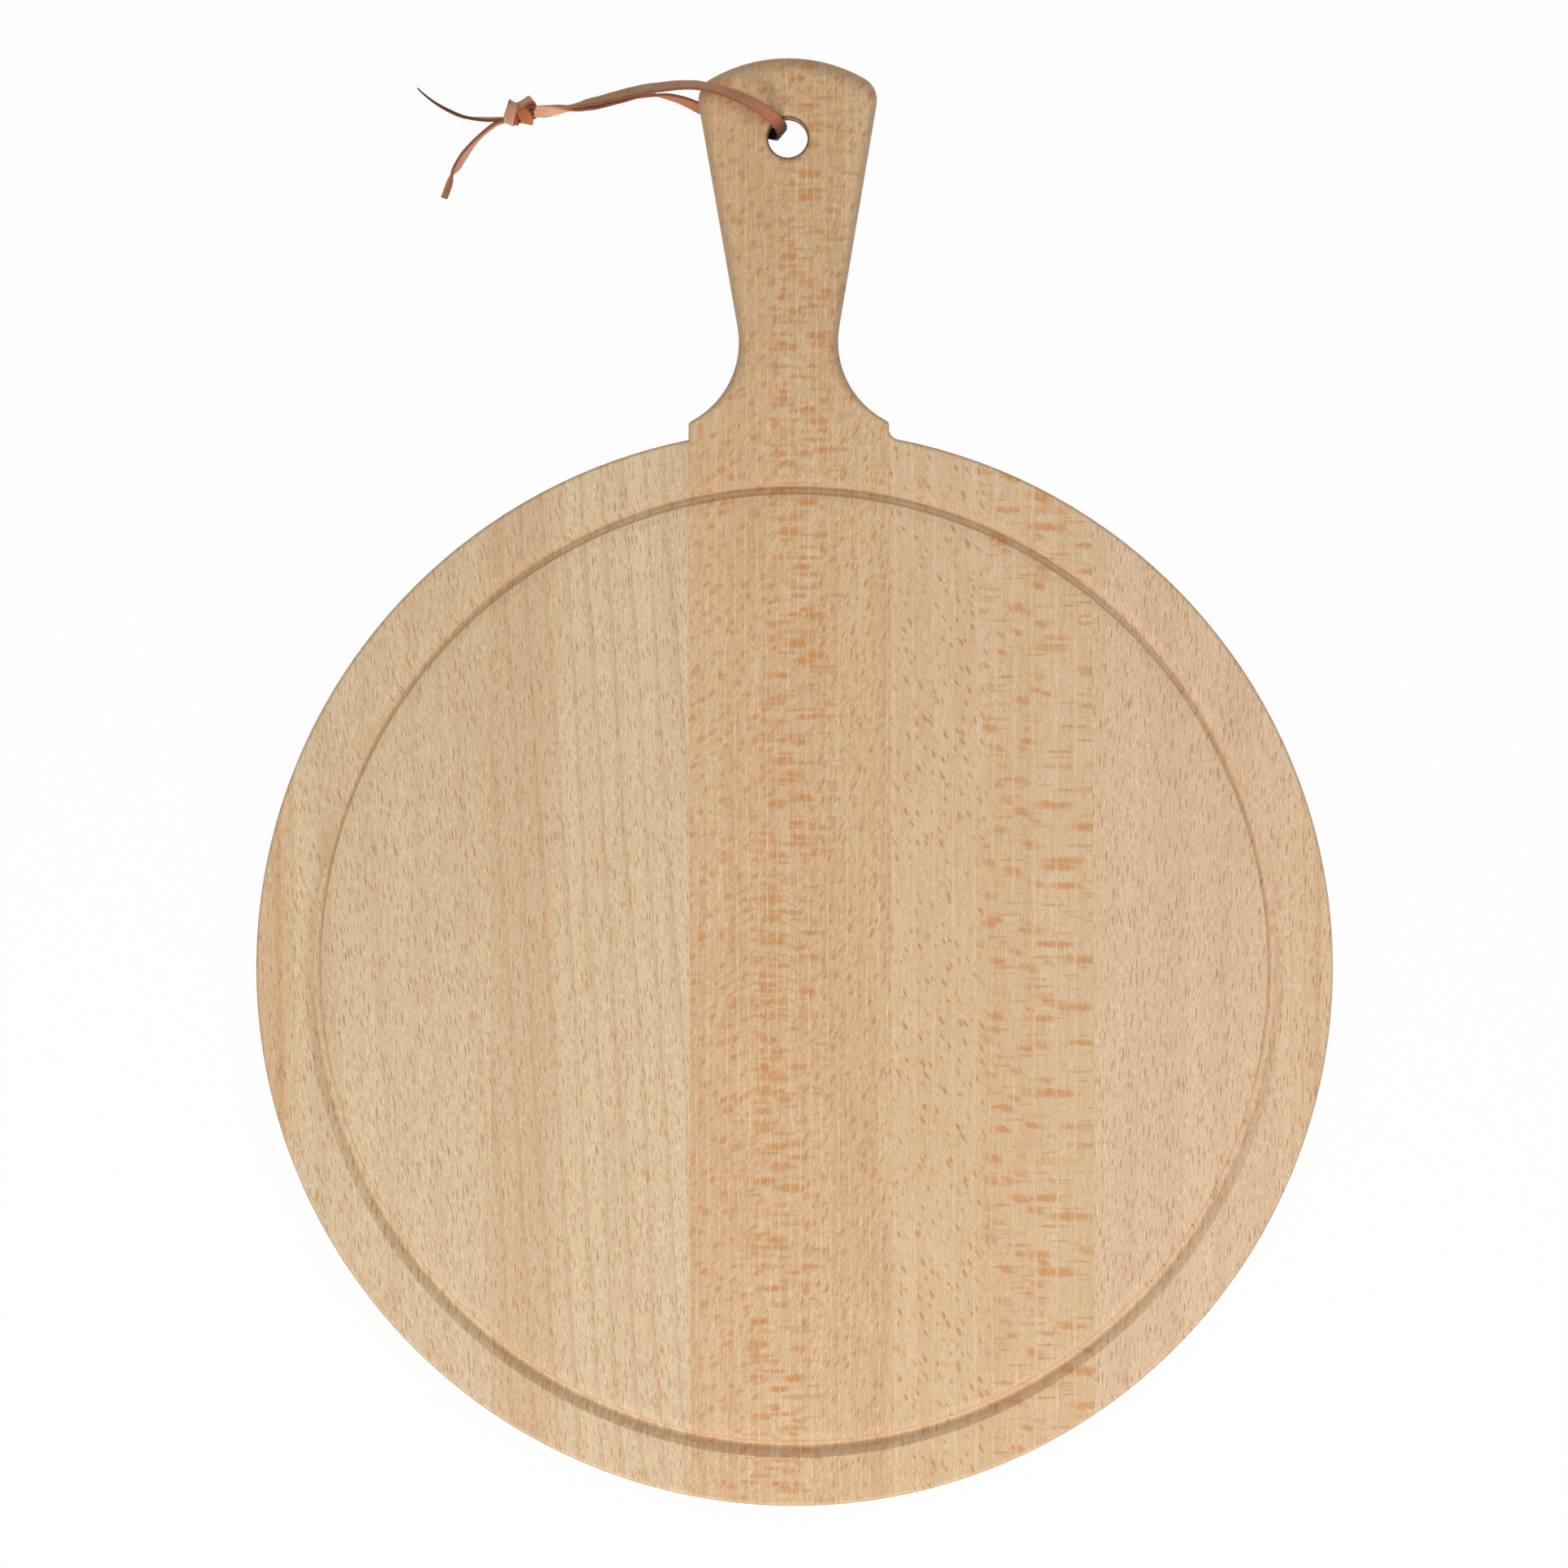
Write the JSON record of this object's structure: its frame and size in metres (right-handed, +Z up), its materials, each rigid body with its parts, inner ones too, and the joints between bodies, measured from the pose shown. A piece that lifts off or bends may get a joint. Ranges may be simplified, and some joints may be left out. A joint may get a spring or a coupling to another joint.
{
  "type": "pizza serving board",
  "caption": "Round wooden serving board with a juice groove, a handle shaped from its middle stave, and a knotted leather hanging thong.",
  "frame": {"origin": "centre of the disc on its flat underside", "axes": "+Y from the disc's centre along the handle to its end, +Z up out of the serving face, +X to the right seen from above with the handle away from the viewer"},
  "size_m": [0.34, 0.4576, 0.0237],
  "materials": {
    "beech_straw": "sanded, oiled matt",
    "beech_rose": "sanded, oiled matt",
    "beech_pale": "sanded, oiled matt",
    "beech_quartered": "sanded, oiled matt",
    "beech_half_quartered": "sanded, oiled matt",
    "wood_glue": "cured glue film, sanded flush",
    "tan_leather": "vegetable-tanned lace, darker cut edges"
  },
  "bodies": {
    "board": {"stave_1": "beech_straw", "stave_2": "beech_rose", "stave_3": "beech_pale", "stave_4": "beech_quartered", "stave_5": "beech_half_quartered", "stave_6": "beech_rose", "stave_7": "beech_straw", "glue_line_1": "wood_glue", "glue_line_2": "wood_glue", "glue_line_3": "wood_glue", "glue_line_4": "wood_glue", "glue_line_5": "wood_glue", "glue_line_6": "wood_glue"},
    "thong": {"thong_loop": "tan_leather", "thong_knot": "tan_leather", "thong_tail_upper": "tan_leather", "thong_tail_lower": "tan_leather"}
  },
  "joints": [
    {"name": "thong_swing", "type": "hinge", "parent": "board", "child": "thong", "pos_m": [-0.0013, 0.2622, 0.009], "axis": [0, 0, 1], "range_deg": [-200, 45]}
  ]
}
